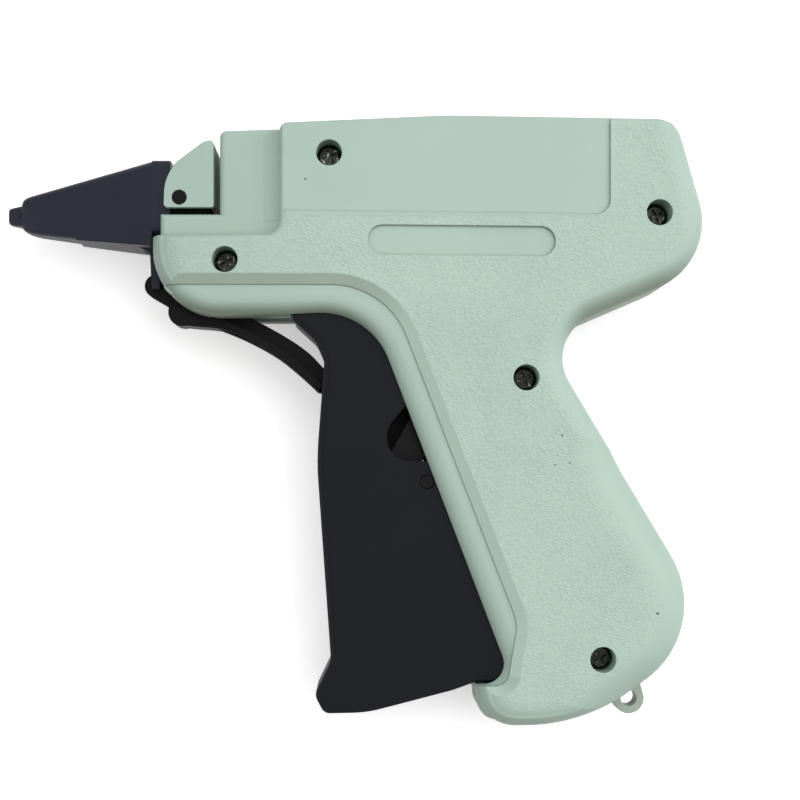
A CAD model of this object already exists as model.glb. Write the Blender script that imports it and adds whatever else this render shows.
import math

import bmesh
import bpy
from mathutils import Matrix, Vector


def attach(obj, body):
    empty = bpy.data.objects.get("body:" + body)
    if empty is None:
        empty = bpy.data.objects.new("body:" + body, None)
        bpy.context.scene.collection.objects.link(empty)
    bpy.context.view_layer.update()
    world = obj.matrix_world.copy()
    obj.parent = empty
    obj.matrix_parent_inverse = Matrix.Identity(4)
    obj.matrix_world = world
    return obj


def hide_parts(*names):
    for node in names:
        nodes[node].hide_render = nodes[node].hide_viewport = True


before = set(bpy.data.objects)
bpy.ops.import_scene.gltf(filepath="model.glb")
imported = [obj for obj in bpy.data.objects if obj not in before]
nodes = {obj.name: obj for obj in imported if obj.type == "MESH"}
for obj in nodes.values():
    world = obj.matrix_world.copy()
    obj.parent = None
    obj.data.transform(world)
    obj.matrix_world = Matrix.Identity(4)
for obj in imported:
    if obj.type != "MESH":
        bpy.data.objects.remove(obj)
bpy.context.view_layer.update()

MM = 0.001
MID = 12.5 * MM  # the parting plane of the two halves, which also holds the needle's axis
THICK = 25.0 * MM  # from the right face, on the floor, to the left one
WHITE = (1.0, 1.0, 1.0)


# ------------------------------------------------------------------ node helpers
def new_material(name):
    """New material, its node tree and its surface shader."""
    material = bpy.data.materials.new(name)
    material.use_nodes = True
    tree = material.node_tree
    return material, tree, tree.nodes["Principled BSDF"]


def add(tree, kind, **values):
    """New node, with its properties or its inputs set by name."""
    node = tree.nodes.new(kind)
    for key, value in values.items():
        if hasattr(node, key):
            setattr(node, key, value)
        else:
            node.inputs[key.replace("_", " ")].default_value = value
    return node


def link(tree, a, b):
    """Joins an output to an input."""
    tree.links.new(a, b)


def place(tree):
    """Where a point of the surface is in the frame, in metres."""
    return add(tree, "ShaderNodeTexCoord").outputs["Object"]


def part_of(tree, vector, axis):
    """One coordinate of a vector."""
    node = add(tree, "ShaderNodeSeparateXYZ")
    link(tree, vector, node.inputs[0])
    return node.outputs[axis]


def normal_part(tree, axis):
    """How far the surface faces along an axis, from -1 to 1."""
    return part_of(tree, add(tree, "ShaderNodeTexCoord").outputs["Normal"], axis)


def calc(tree, operation, *terms):
    """A sum, product or other small calculation on sockets and numbers."""
    node = add(tree, "ShaderNodeMath", operation=operation)
    for socket, value in zip(node.inputs, terms):
        if isinstance(value, bpy.types.NodeSocket):
            link(tree, value, socket)
        else:
            socket.default_value = value
    return node.outputs[0]


def upright(tree):
    """1 on faces that look along Z either way, 0 on side walls."""
    return calc(tree, "ABSOLUTE", normal_part(tree, "Z"))


def off_middle(tree, where):
    """Distance from the parting plane."""
    return calc(tree, "ABSOLUTE", calc(tree, "SUBTRACT", part_of(tree, where, "Z"), MID))


def noise(tree, where, scale, detail=3.0, rough=0.5):
    """Clouds around 0.5, their scale given per metre."""
    node = add(tree, "ShaderNodeTexNoise", Scale=scale, Detail=detail, Roughness=rough)
    link(tree, where, node.inputs["Vector"])
    return node.outputs["Fac"]


def ramp(tree, factor, stops):
    """Maps a factor to the colours at the stops."""
    node = add(tree, "ShaderNodeValToRGB")
    band = node.color_ramp
    while len(band.elements) < len(stops):
        band.elements.new(0.5)
    for element, (at, colour) in zip(band.elements, stops):
        element.position = at
        element.color = (*colour, 1.0)
    link(tree, factor, node.inputs["Fac"])
    return node.outputs["Color"]


def remap(tree, factor, low, high, to_low, to_high):
    """Turns the range low to high into to_low to to_high, and holds the ends beyond it."""
    node = add(tree, "ShaderNodeMapRange")
    names = ("From Min", "From Max", "To Min", "To Max")
    for name, value in zip(names, (low, high, to_low, to_high)):
        node.inputs[name].default_value = value
    link(tree, factor, node.inputs["Value"])
    return node.outputs["Result"]


def across(tree, distance, band, before=0.0, after=1.0):
    """Goes from before to after while a distance crosses a band given in millimetres."""
    return remap(tree, distance, band[0] * MM, band[1] * MM, before, after)


def mix(tree, factor, a, b, blend="MIX"):
    """Blends two colours, each a socket, a grey value or a colour."""
    node = add(tree, "ShaderNodeMix", data_type="RGBA", blend_type=blend)
    for socket, value in ((node.inputs[0], factor), (node.inputs[6], a), (node.inputs[7], b)):
        if isinstance(value, bpy.types.NodeSocket):
            link(tree, value, socket)
        elif isinstance(value, (int, float)):
            socket.default_value = value
        else:
            socket.default_value = (*value, 1.0)
    return node.outputs[2]


def times(tree, colour, factor):
    """A colour darkened, lightened or tinted by a factor."""
    return mix(tree, 1.0, colour, factor, "MULTIPLY")


def bump(tree, height, distance, strength, before):
    """Adds the relief of a height to the surface direction that was there before."""
    node = add(tree, "ShaderNodeBump", Strength=strength, Distance=distance)
    link(tree, height, node.inputs["Height"])
    link(tree, before, node.inputs["Normal"])
    return node.outputs["Normal"]


def corners(tree, reach):
    """1 in the open and less in corners and grooves narrower than the reach."""
    node = add(tree, "ShaderNodeAmbientOcclusion", samples=6, only_local=True, Distance=reach)
    return node.outputs["AO"]


def soft_edges(tree, radius):
    """Rounds the smallest edges, which a mould leaves at a few tenths of a millimetre."""
    return add(tree, "ShaderNodeBevel", samples=6, Radius=radius).outputs["Normal"]


# ------------------------------------------------------------------ kinds of material
SKIN_SCALE = 2600.0  # the finest bumps of moulded plastic, per metre
CLOUDINESS = 0.04  # how far a plastic's colour drifts either way


def plastic(name, colour, rough, edge=0.25, fine=0.05, level=0.5):
    """Moulded plastic: cloudy colour, uneven gloss, a fine skin, and edges rounded in millimetres."""
    material, tree, shader = new_material(name)
    where = place(tree)
    cloud = noise(tree, where, 45.0, detail=4.0, rough=0.6)
    light = tuple(c * (1 + CLOUDINESS) for c in colour)
    dark = tuple(c * (1 - CLOUDINESS) for c in colour)
    tone = mix(tree, remap(tree, cloud, 0.35, 0.65, 0, 1), dark, light)
    link(tree, tone, shader.inputs["Base Color"])
    sheen = noise(tree, where, 160.0)
    gloss = remap(tree, sheen, 0.3, 0.7, rough - 0.03, rough + 0.03)
    link(tree, gloss, shader.inputs["Roughness"])
    skin = noise(tree, where, SKIN_SCALE, detail=2.0)
    relief = bump(tree, skin, 0.05 * MM, fine, soft_edges(tree, edge * MM))
    link(tree, relief, shader.inputs["Normal"])
    shader.inputs["Specular IOR Level"].default_value = level
    return material


METAL_EDGE = 0.12  # millimetres
DULL_SHARE = 0.72  # how bright the duller patches of a metal are beside the rest


def metal(name, colour, rough, streak=0.0, fleck=None):
    """Bare metal with fine working marks, duller patches and, if asked, bright flecks."""
    material, tree, shader = new_material(name)
    where = place(tree)
    patch = noise(tree, where, 300.0)
    dull = tuple(c * DULL_SHARE for c in colour)
    tone = mix(tree, remap(tree, patch, 0.35, 0.7, 0, 1), colour, dull)
    if fleck is not None:
        shine = remap(tree, noise(tree, where, 1300.0, detail=2.0, rough=0.6), 0.6, 0.7, 0, 1)
        tone = mix(tree, shine, tone, fleck)
    link(tree, tone, shader.inputs["Base Color"])
    shader.inputs["Metallic"].default_value = 1.0
    gloss = remap(tree, patch, 0.3, 0.7, rough - 0.07, rough + 0.1)
    link(tree, gloss, shader.inputs["Roughness"])
    marks = noise(tree, where, 1800.0, detail=2.0)
    relief = bump(tree, marks, 0.04 * MM, 0.1 + streak, soft_edges(tree, METAL_EDGE * MM))
    link(tree, relief, shader.inputs["Normal"])
    return material


# ------------------------------------------------------------------ mint plastic
# lengths and places below are in millimetres
MINT = (0.44, 0.578, 0.5)
SMOOTH_SHADE = 0.93  # the smooth faces are a little darker than the grained ones
GRIME_TINT = (0.3, 0.34, 0.27)
GRIME_REACH = 1.4
DEEP_TINT = (0.4, 0.62, 0.54)  # inside the screw wells
DEEP_REACH = 5.0
FRONT_FADE = (-40.0, 5.0)  # x; the front is a little darker than the back
FRONT_SHARE = 0.92
SEAM = (0.05, 0.13)  # half the width of the line between the halves, where it starts and ends to fade
SEAM_SHARE = 0.3

GRAIN_SCALE = 1500.0  # wrinkles per metre
GRAIN_BEND = 0.9  # how far the wrinkles wander
GRAIN_TURN = 24  # degrees
GRAIN_STRETCH = 1.7
GRAIN_DEPTH = 0.2
GRAIN_ROUGHER = 0.14
RAISED = (11.9, 12.3)  # off the parting plane; only faces above this are grained
PANEL_BACK = (54.6, 55.2)  # x of the smooth panel's back edge
PANEL_FOOT = (42.8, 42.2)  # y of its lower edge

# x, y, radius
SPECKS = [
    (44.4, -2.9, 0.3),
    (42.9, -9.0, 0.24),
    (46.0, -8.6, 0.24),
    (64.2, -39.8, 0.4),
    (-8.8, 50.3, 0.32),
]
SPECK_SHARE = 0.25

LUG = (60.9, -60.4)
LUG_EDGE = (4.4, 6.2)  # how far the lug's tint reaches, where it starts and ends to fade
LUG_WANDER = 0.7
LUG_TINT = (0.9, 0.82, 0.79)
LOW_TINT = (0.61, 0.58, 0.53)  # walls that face down the picture
LOW_BAND = (0.0, 12.0)  # y; the belly's underside takes all of it, the grip's foot little
LOW_LEAST = 0.2

SLOPE_HEIGHT = (10.8, 11.0)  # off the parting plane, where the slope beside the rim begins
SLOPE_TINT = (1.24, 1.23, 1.23)


def leather(tree, where):
    """Height of a fine leather grain: short wrinkles about half a millimetre apart."""
    bend = add(tree, "ShaderNodeTexNoise", Scale=900.0, Detail=2.0)
    link(tree, where, bend.inputs["Vector"])
    moved = add(tree, "ShaderNodeVectorMath", operation="MULTIPLY_ADD")
    link(tree, bend.outputs["Color"], moved.inputs[0])
    moved.inputs[1].default_value = (GRAIN_BEND * MM,) * 3
    link(tree, where, moved.inputs[2])
    turn = add(tree, "ShaderNodeMapping")
    turn.inputs["Rotation"].default_value = (0.0, 0.0, math.radians(GRAIN_TURN))
    turn.inputs["Scale"].default_value = (1.0, GRAIN_STRETCH, 1.0)
    link(tree, moved.outputs[0], turn.inputs["Vector"])
    cells = add(tree, "ShaderNodeTexVoronoi", feature="SMOOTH_F1", Scale=GRAIN_SCALE)
    cells.inputs["Smoothness"].default_value = 0.35
    link(tree, turn.outputs[0], cells.inputs["Vector"])
    return cells.outputs["Distance"]


def grain_mask(tree, where):
    """1 on the raised grip faces, which are grained, 0 on panel, block, rim and roundings."""
    raised = across(tree, off_middle(tree, where), RAISED)
    flat = remap(tree, upright(tree), 0.86, 0.985, 0, 1)
    behind_panel = across(tree, part_of(tree, where, "X"), PANEL_BACK)
    below_panel = across(tree, part_of(tree, where, "Y"), PANEL_FOOT)
    beside = calc(tree, "MAXIMUM", behind_panel, below_panel)
    return calc(tree, "MULTIPLY", calc(tree, "MULTIPLY", raised, flat), beside)


def specks(tree, where):
    """Factor that darkens a few tiny moulding specks."""
    x = part_of(tree, where, "X")
    y = part_of(tree, where, "Y")
    clean = 1.0
    for at_x, at_y, radius in SPECKS:
        dx = calc(tree, "SUBTRACT", x, at_x * MM)
        dy = calc(tree, "SUBTRACT", y, at_y * MM)
        square = calc(tree, "ADD", calc(tree, "MULTIPLY", dx, dx), calc(tree, "MULTIPLY", dy, dy))
        spot = across(tree, calc(tree, "SQRT", square), (radius / 2, radius), SPECK_SHARE, 1.0)
        clean = calc(tree, "MULTIPLY", clean, spot)
    return clean


def handled(tree, where):
    """Beige tint of the dulled lug, and a stronger one under the belly."""
    off = add(tree, "ShaderNodeVectorMath", operation="DISTANCE")
    link(tree, where, off.inputs[0])
    off.inputs[1].default_value = (LUG[0] * MM, LUG[1] * MM, MID)
    wander = LUG_WANDER * MM
    uneven = remap(tree, noise(tree, where, 400.0), 0.3, 0.7, -wander, wander)
    away = across(tree, calc(tree, "ADD", off.outputs["Value"], uneven), LUG_EDGE)
    lug = mix(tree, away, LUG_TINT, WHITE)
    down = remap(tree, normal_part(tree, "Y"), -0.8, -0.3, 1, 0)
    belly = across(tree, part_of(tree, where, "Y"), LOW_BAND, LOW_LEAST, 1.0)
    low = mix(tree, calc(tree, "MULTIPLY", down, belly), WHITE, LOW_TINT)
    return times(tree, lug, low)


def slope_shine(tree, where):
    """Lighter band on the slope beside the rim, which faces forwards and down at 35 degrees."""
    up = upright(tree)
    steep = remap(tree, up, 0.76, 0.8, 0, 1)
    shallow = remap(tree, up, 0.84, 0.9, 1, 0)
    ahead = calc(tree, "ADD", normal_part(tree, "X"), normal_part(tree, "Y"))
    leaning = calc(tree, "MULTIPLY", steep, shallow)
    leaning = calc(tree, "MULTIPLY", leaning, remap(tree, ahead, -0.5, -0.3, 1, 0))
    high = across(tree, off_middle(tree, where), SLOPE_HEIGHT)
    return mix(tree, calc(tree, "MULTIPLY", leaning, high), WHITE, SLOPE_TINT)


def seam(tree, where):
    """Factor that darkens the side walls in a thin line where the halves meet."""
    line = across(tree, off_middle(tree, where), SEAM, SEAM_SHARE, 1.0)
    return calc(tree, "MAXIMUM", line, remap(tree, upright(tree), 0.5, 0.9, 0, 1))


def mint_colour(tree, where, cloud):
    """Cloudy mint, with grime in corners and a dark green in deep wells."""
    light = tuple(c * SMOOTH_SHADE * 1.02 for c in MINT)
    dark = tuple(c * SMOOTH_SHADE * 0.97 for c in MINT)
    colour = mix(tree, remap(tree, cloud, 0.35, 0.65, 0, 1), dark, light)
    clean = remap(tree, corners(tree, GRIME_REACH * MM), 0.25, 0.72, 0.25, 1.0)
    colour = times(tree, colour, mix(tree, clean, GRIME_TINT, WHITE))
    shallow = remap(tree, corners(tree, DEEP_REACH * MM), 0.08, 0.42, 0.0, 1.0)
    colour = times(tree, colour, mix(tree, shallow, DEEP_TINT, WHITE))
    return times(tree, colour, across(tree, part_of(tree, where, "X"), FRONT_FADE, FRONT_SHARE, 1.0))


def mint(name, grained):
    """Mint plastic, with leather grain on the raised faces of the housing."""
    material, tree, shader = new_material(name)
    where = place(tree)
    cloud = noise(tree, where, 40.0, detail=4.0, rough=0.6)
    colour = mint_colour(tree, where, cloud)
    gloss = remap(tree, cloud, 0.3, 0.7, 0.4, 0.48)
    skin = noise(tree, where, SKIN_SCALE, detail=2.0)
    normal = bump(tree, skin, 0.04 * MM, 0.06, soft_edges(tree, 0.3 * MM))
    if grained:
        colour = times(tree, colour, seam(tree, where))
        colour = times(tree, colour, slope_shine(tree, where))
        mask = grain_mask(tree, where)
        grain = leather(tree, where)
        pits = remap(tree, grain, 0.15, 0.7, 1.04 / SMOOTH_SHADE, 0.93 / SMOOTH_SHADE)
        colour = times(tree, colour, mix(tree, mask, WHITE, pits))
        colour = times(tree, colour, specks(tree, where))
        colour = times(tree, colour, handled(tree, where))
        gloss = calc(tree, "ADD", gloss, calc(tree, "MULTIPLY", mask, GRAIN_ROUGHER))
        worn = remap(tree, noise(tree, where, 130.0, detail=2.0), 0.35, 0.65, 0.45, 1.0)
        height = calc(tree, "MULTIPLY", calc(tree, "MULTIPLY", grain, worn), mask)
        normal = bump(tree, height, -GRAIN_DEPTH * MM, 0.75, normal)
    link(tree, colour, shader.inputs["Base Color"])
    link(tree, gloss, shader.inputs["Roughness"])
    link(tree, normal, shader.inputs["Normal"])
    shader.inputs["Specular IOR Level"].default_value = 0.25
    return material


# ------------------------------------------------------------------ materials of the pieces
BLUE_BLACK = (0.0062, 0.007, 0.0098)
NAVY = (0.0118, 0.0152, 0.0262)
BLACK = (0.002, 0.002, 0.0024)
RED = (0.42, 0.02, 0.015)
BRIGHT_STEEL = (0.72, 0.72, 0.74)
GROUND_STEEL = (0.5, 0.5, 0.51)
SPRING_STEEL = (0.3, 0.29, 0.28)
DARK_ZINC = (0.036, 0.04, 0.035)
ZINC_FLECK = (0.3, 0.31, 0.28)

materials = {
    "trigger_plastic": plastic("trigger_plastic", BLUE_BLACK, rough=0.48, edge=0.6, level=0.12),
    "cover_plastic": plastic("cover_plastic", NAVY, rough=0.42, edge=0.6, level=0.2),
    "front_black": plastic("front_black", BLACK, rough=0.46, fine=0.3, level=0.12),
    "lever_black": plastic("lever_black", BLACK, rough=0.45, fine=0.1, level=0.14),
    "red_plastic": plastic("red_plastic", RED, rough=0.35),
    "needle_steel": metal("needle_steel", BRIGHT_STEEL, rough=0.16),
    "pin_steel": metal("pin_steel", GROUND_STEEL, rough=0.3),
    "spring_steel": metal("spring_steel", SPRING_STEEL, rough=0.35),
    "zinc_steel": metal("zinc_steel", DARK_ZINC, rough=0.4, streak=0.2, fleck=ZINC_FLECK),
    "mint_grained": mint("mint_grained", True),
    "mint_smooth": mint("mint_smooth", False),
}

FINISH = {
    "mint_grained": ["left_housing", "right_housing"],
    "mint_smooth": ["lock_lever"],
    "trigger_plastic": ["trigger"],
    "cover_plastic": ["needle_cover"],
    "front_black": ["needle_seat", "lock_lever_pins", "feed_lever"],
    "lever_black": ["cross_pin", "swing_lever", "slider", "rod_guide", "feed_wheel"],
    "red_plastic": ["needle_base"],
    "needle_steel": ["needle", "cutter_blade"],
    "pin_steel": ["trigger_pivot_pin", "lever_pivot_pin", "slider_pin", "feed_lever_pin", "wheel_axle"],
    "spring_steel": ["return_spring", "pusher_rod", "feed_pawl"],
    "zinc_steel": ["housing_screws"],
}
for finish, names in FINISH.items():
    for name in names:
        node = nodes[name]
        node.data.materials.clear()
        node.data.materials.append(materials[finish])


# ------------------------------------------------------------------ forms finished here
def make_piece(name, shape, finish, crease):
    """Object from a finished bmesh, smooth but for edges sharper than the crease in degrees."""
    mesh = bpy.data.meshes.new(name)
    shape.to_mesh(mesh)
    shape.free()
    mesh.materials.append(materials[finish])
    mesh.polygons.foreach_set("use_smooth", [True] * len(mesh.polygons))
    mesh.set_sharp_from_angle(angle=math.radians(crease))
    piece = bpy.data.objects.new(name, mesh)
    bpy.context.scene.collection.objects.link(piece)
    return piece


NEEDLE_Y = 44.5 * MM
NOSE_X = -70.0 * MM  # where the nose ends and the narrow tip begins
SHAPED_X = -66.0 * MM  # nothing behind this is changed
TIP_REACH = 3.1 * MM  # the narrow tip lies within this of the needle's axis
BORE_REACH = 1.3 * MM  # the bore through the tip
HOLLOW_REACH = 1.5 * MM  # the bore behind it
NEAR = 0.01 * MM  # points this near to the nose's end belong to it
CUT_GAP = 1e-7  # points nearer to a cut than this lie on it

# x in millimetres, and the share of its distance from the needle's axis that a point keeps there
NOSE_SHARE = [(-70.0, 0.76), (-69.7, 0.9), (-69.3, 0.955), (-68.8, 0.985), (-68.0, 1.0)]
BELLY_SHARE = [(-70.0, 0.72), (-69.4, 0.86), (-68.6, 0.93), (-67.6, 0.975), (-66.2, 1.0)]
TIP_SHARE = [(-73.0, 0.72), (-72.75, 0.88), (-72.3, 0.94), (-70.0, 1.18)]


def share_at(x, stops):
    """Share at x, on straight runs between the stops."""
    for (x0, share0), (x1, share1) in zip(stops, stops[1:]):
        if x <= x1 * MM:
            along = min(max((x / MM - x0) / (x1 - x0), 0.0), 1.0)
            return share0 + (share1 - share0) * along
    return stops[-1][1]


def shares_for(x, y, away):
    """The stops that a point of the cover follows."""
    if x < NOSE_X - NEAR or (x < NOSE_X + NEAR and away < TIP_REACH):
        return TIP_SHARE
    if away >= TIP_REACH and y < NEEDLE_Y:
        return BELLY_SHARE
    return NOSE_SHARE


def cover_with_rounded_nose():
    """The needle cover, its nose rounded off towards a tip that tapers."""
    source = nodes["needle_cover"]
    shape = bmesh.new()
    shape.from_mesh(source.data)
    for x in sorted({stop[0] for stop in NOSE_SHARE + BELLY_SHARE + TIP_SHARE}):
        bmesh.ops.bisect_plane(
            shape,
            geom=shape.verts[:] + shape.edges[:] + shape.faces[:],
            plane_co=(x * MM, 0, 0),
            plane_no=(1, 0, 0),
            dist=CUT_GAP,
        )
    for vertex in shape.verts:
        x, y, z = vertex.co
        away = math.hypot(y - NEEDLE_Y, z - MID)
        bore = HOLLOW_REACH if x > NOSE_X + NEAR else BORE_REACH
        if x > SHAPED_X or away < bore:
            continue
        share = share_at(x, shares_for(x, y, away))
        vertex.co.y = NEEDLE_Y + (y - NEEDLE_Y) * share
        vertex.co.z = MID + (z - MID) * share
    piece = make_piece("cover_shell", shape, "cover_plastic", 32)
    piece.matrix_world = source.matrix_world
    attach(piece, "needle_cover")
    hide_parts("needle_cover")


cover_with_rounded_nose()

# the cove is the hollow rounding from the front block up to the body
COVE_ARC = [(-18.4, 21.45), (-15.69, 22.28), (-13.9, 24.4)]  # x, z: start, middle, end
COVE_FOOT = (38.7, 42.05)  # y from, y to
COVE_ROOT = 0.6  # how far the piece reaches into the block and the wall
COVE_STEPS = 16


def arc_points(start, middle, end, count):
    """Points along the arc through three points."""
    ax, ay = start
    bx, by = middle
    cx, cy = end
    d = 2 * (ax * (by - cy) + bx * (cy - ay) + cx * (ay - by))
    aa = ax * ax + ay * ay
    bb = bx * bx + by * by
    cc = cx * cx + cy * cy
    ux = (aa * (by - cy) + bb * (cy - ay) + cc * (ay - by)) / d
    uy = (aa * (cx - bx) + bb * (ax - cx) + cc * (bx - ax)) / d
    radius = math.hypot(ax - ux, ay - uy)
    first = math.atan2(ay - uy, ax - ux)
    last = math.atan2(cy - uy, cx - ux)
    turn = (last - first + math.pi) % (2 * math.pi) - math.pi
    angles = [first + turn * i / count for i in range(count + 1)]
    return [(ux + radius * math.cos(a), uy + radius * math.sin(a)) for a in angles]


def cove_foot(name, on_left):
    """The lowest stretch of the cove beside the front block, down to the edge of the belly."""
    start_x, start_z = COVE_ARC[0]
    end_x, end_z = COVE_ARC[-1]
    low = start_z - COVE_ROOT
    back = end_x + COVE_ROOT
    outline = arc_points(*COVE_ARC, COVE_STEPS) + [(back, end_z), (back, low), (start_x, low)]
    shape = bmesh.new()
    ends = []
    for y in COVE_FOOT:
        ring = []
        for x, z in outline:
            height = z * MM if on_left else THICK - z * MM
            ring.append(shape.verts.new((x * MM, y * MM, height)))
        ends.append(ring)
    count = len(outline)
    for i in range(count):
        k = (i + 1) % count
        shape.faces.new((ends[0][i], ends[0][k], ends[1][k], ends[1][i]))
    shape.faces.new(ends[0])
    shape.faces.new(reversed(ends[1]))
    bmesh.ops.recalc_face_normals(shape, faces=shape.faces[:])
    piece = make_piece(name, shape, "mint_smooth", 40)
    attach(piece, "body")


cove_foot("cove_foot_left", True)
cove_foot("cove_foot_right", False)

# ------------------------------------------------------------------ floor, light, camera
FLOOR_SIZE = 6.0
FLOOR_DROP = 0.04 * MM  # keeps the floor clear of the face that lies on it
FLOOR_GLOW = 0.42
BENCH = (0.13, 0.112, 0.095)  # what the floor sends back up as light
SKY_FROM = (0.42, 0.42, 0.8)  # the brightest direction of the room
SKY_STRENGTH = 0.79
SKY = [
    (0.0, (0.2, 0.18, 0.16)),
    (0.34, (0.34, 0.32, 0.3)),
    (0.62, (0.74, 0.74, 0.74)),
    (1.0, WHITE),
]


def seen_directly(tree):
    """1 for rays from the camera, in mirrors and through glass, 0 for light that spreads."""
    path = add(tree, "ShaderNodeLightPath")
    seen = calc(tree, "MAXIMUM", path.outputs["Is Camera Ray"], path.outputs["Is Transmission Ray"])
    return calc(tree, "MAXIMUM", seen, path.outputs["Is Glossy Ray"])


def make_floor():
    """White floor with the object's shadow, which spreads light as a plain bench would."""
    bpy.ops.mesh.primitive_plane_add(size=FLOOR_SIZE, location=(0, 0, -FLOOR_DROP))
    floor = bpy.context.object
    floor.name = "floor"
    material, tree, shader = new_material("floor_white")
    direct = seen_directly(tree)
    cloud = noise(tree, place(tree), 3.0, detail=2.0)
    paper = mix(tree, cloud, (0.97, 0.97, 0.97), WHITE)
    link(tree, mix(tree, direct, BENCH, paper), shader.inputs["Base Color"])
    shader.inputs["Roughness"].default_value = 0.9
    shader.inputs["Specular IOR Level"].default_value = 0.1
    shader.inputs["Emission Color"].default_value = (*WHITE, 1.0)
    link(tree, calc(tree, "MULTIPLY", direct, FLOOR_GLOW), shader.inputs["Emission Strength"])
    floor.data.materials.append(material)


def make_world():
    """Soft room light, brightest from the upper right; the camera sees a plain white backdrop."""
    world = bpy.data.worlds.new("studio")
    world.use_nodes = True
    tree = world.node_tree
    sky = tree.nodes["Background"]
    facing = add(tree, "ShaderNodeVectorMath", operation="DOT_PRODUCT")
    link(tree, add(tree, "ShaderNodeTexCoord").outputs["Generated"], facing.inputs[0])
    facing.inputs[1].default_value = Vector(SKY_FROM).normalized()
    level = remap(tree, facing.outputs["Value"], -0.5, 1.0, 0.0, 1.0)
    link(tree, ramp(tree, level, SKY), sky.inputs["Color"])
    sky.inputs["Strength"].default_value = SKY_STRENGTH
    backdrop = add(tree, "ShaderNodeBackground", Strength=1.0)
    backdrop.inputs["Color"].default_value = (*WHITE, 1.0)
    either = add(tree, "ShaderNodeMixShader")
    link(tree, seen_directly(tree), either.inputs[0])
    link(tree, sky.outputs[0], either.inputs[1])
    link(tree, backdrop.outputs[0], either.inputs[2])
    link(tree, either.outputs[0], tree.nodes["World Output"].inputs["Surface"])
    bpy.context.scene.world = world


def softbox(name, position, size, power):
    """Rectangular lamp that faces the object."""
    light = bpy.data.lights.new(name, "AREA")
    light.shape = "RECTANGLE"
    light.size, light.size_y = size
    light.energy = power
    lamp = bpy.data.objects.new(name, light)
    bpy.context.scene.collection.objects.link(lamp)
    lamp.location = position
    lamp.rotation_euler = (-Vector(position)).to_track_quat("-Z", "Y").to_euler()


def make_camera():
    """Camera straight above the tool, where the parallax of the screw wells puts it."""
    data = bpy.data.cameras.new("camera")
    data.sensor_width = 36.0
    data.lens = 62.5
    data.shift_x = 0.0475
    data.shift_y = 0.1025
    data.clip_start = 0.01
    data.clip_end = 20.0
    camera = bpy.data.objects.new("camera", data)
    bpy.context.scene.collection.objects.link(camera)
    camera.location = (2.95 * MM, -12.55 * MM, 312.5 * MM)
    bpy.context.scene.camera = camera


make_floor()
make_world()
softbox("key", position=(0.36, 0.36, 0.78), size=(0.9, 0.9), power=3.75)
softbox("right_side", position=(0.85, 0.1, 0.4), size=(0.7, 0.5), power=2.3)
softbox("left_side", position=(-0.75, -0.15, 0.5), size=(0.7, 0.5), power=1.3)
make_camera()
bpy.context.scene.view_settings.view_transform = "Standard"
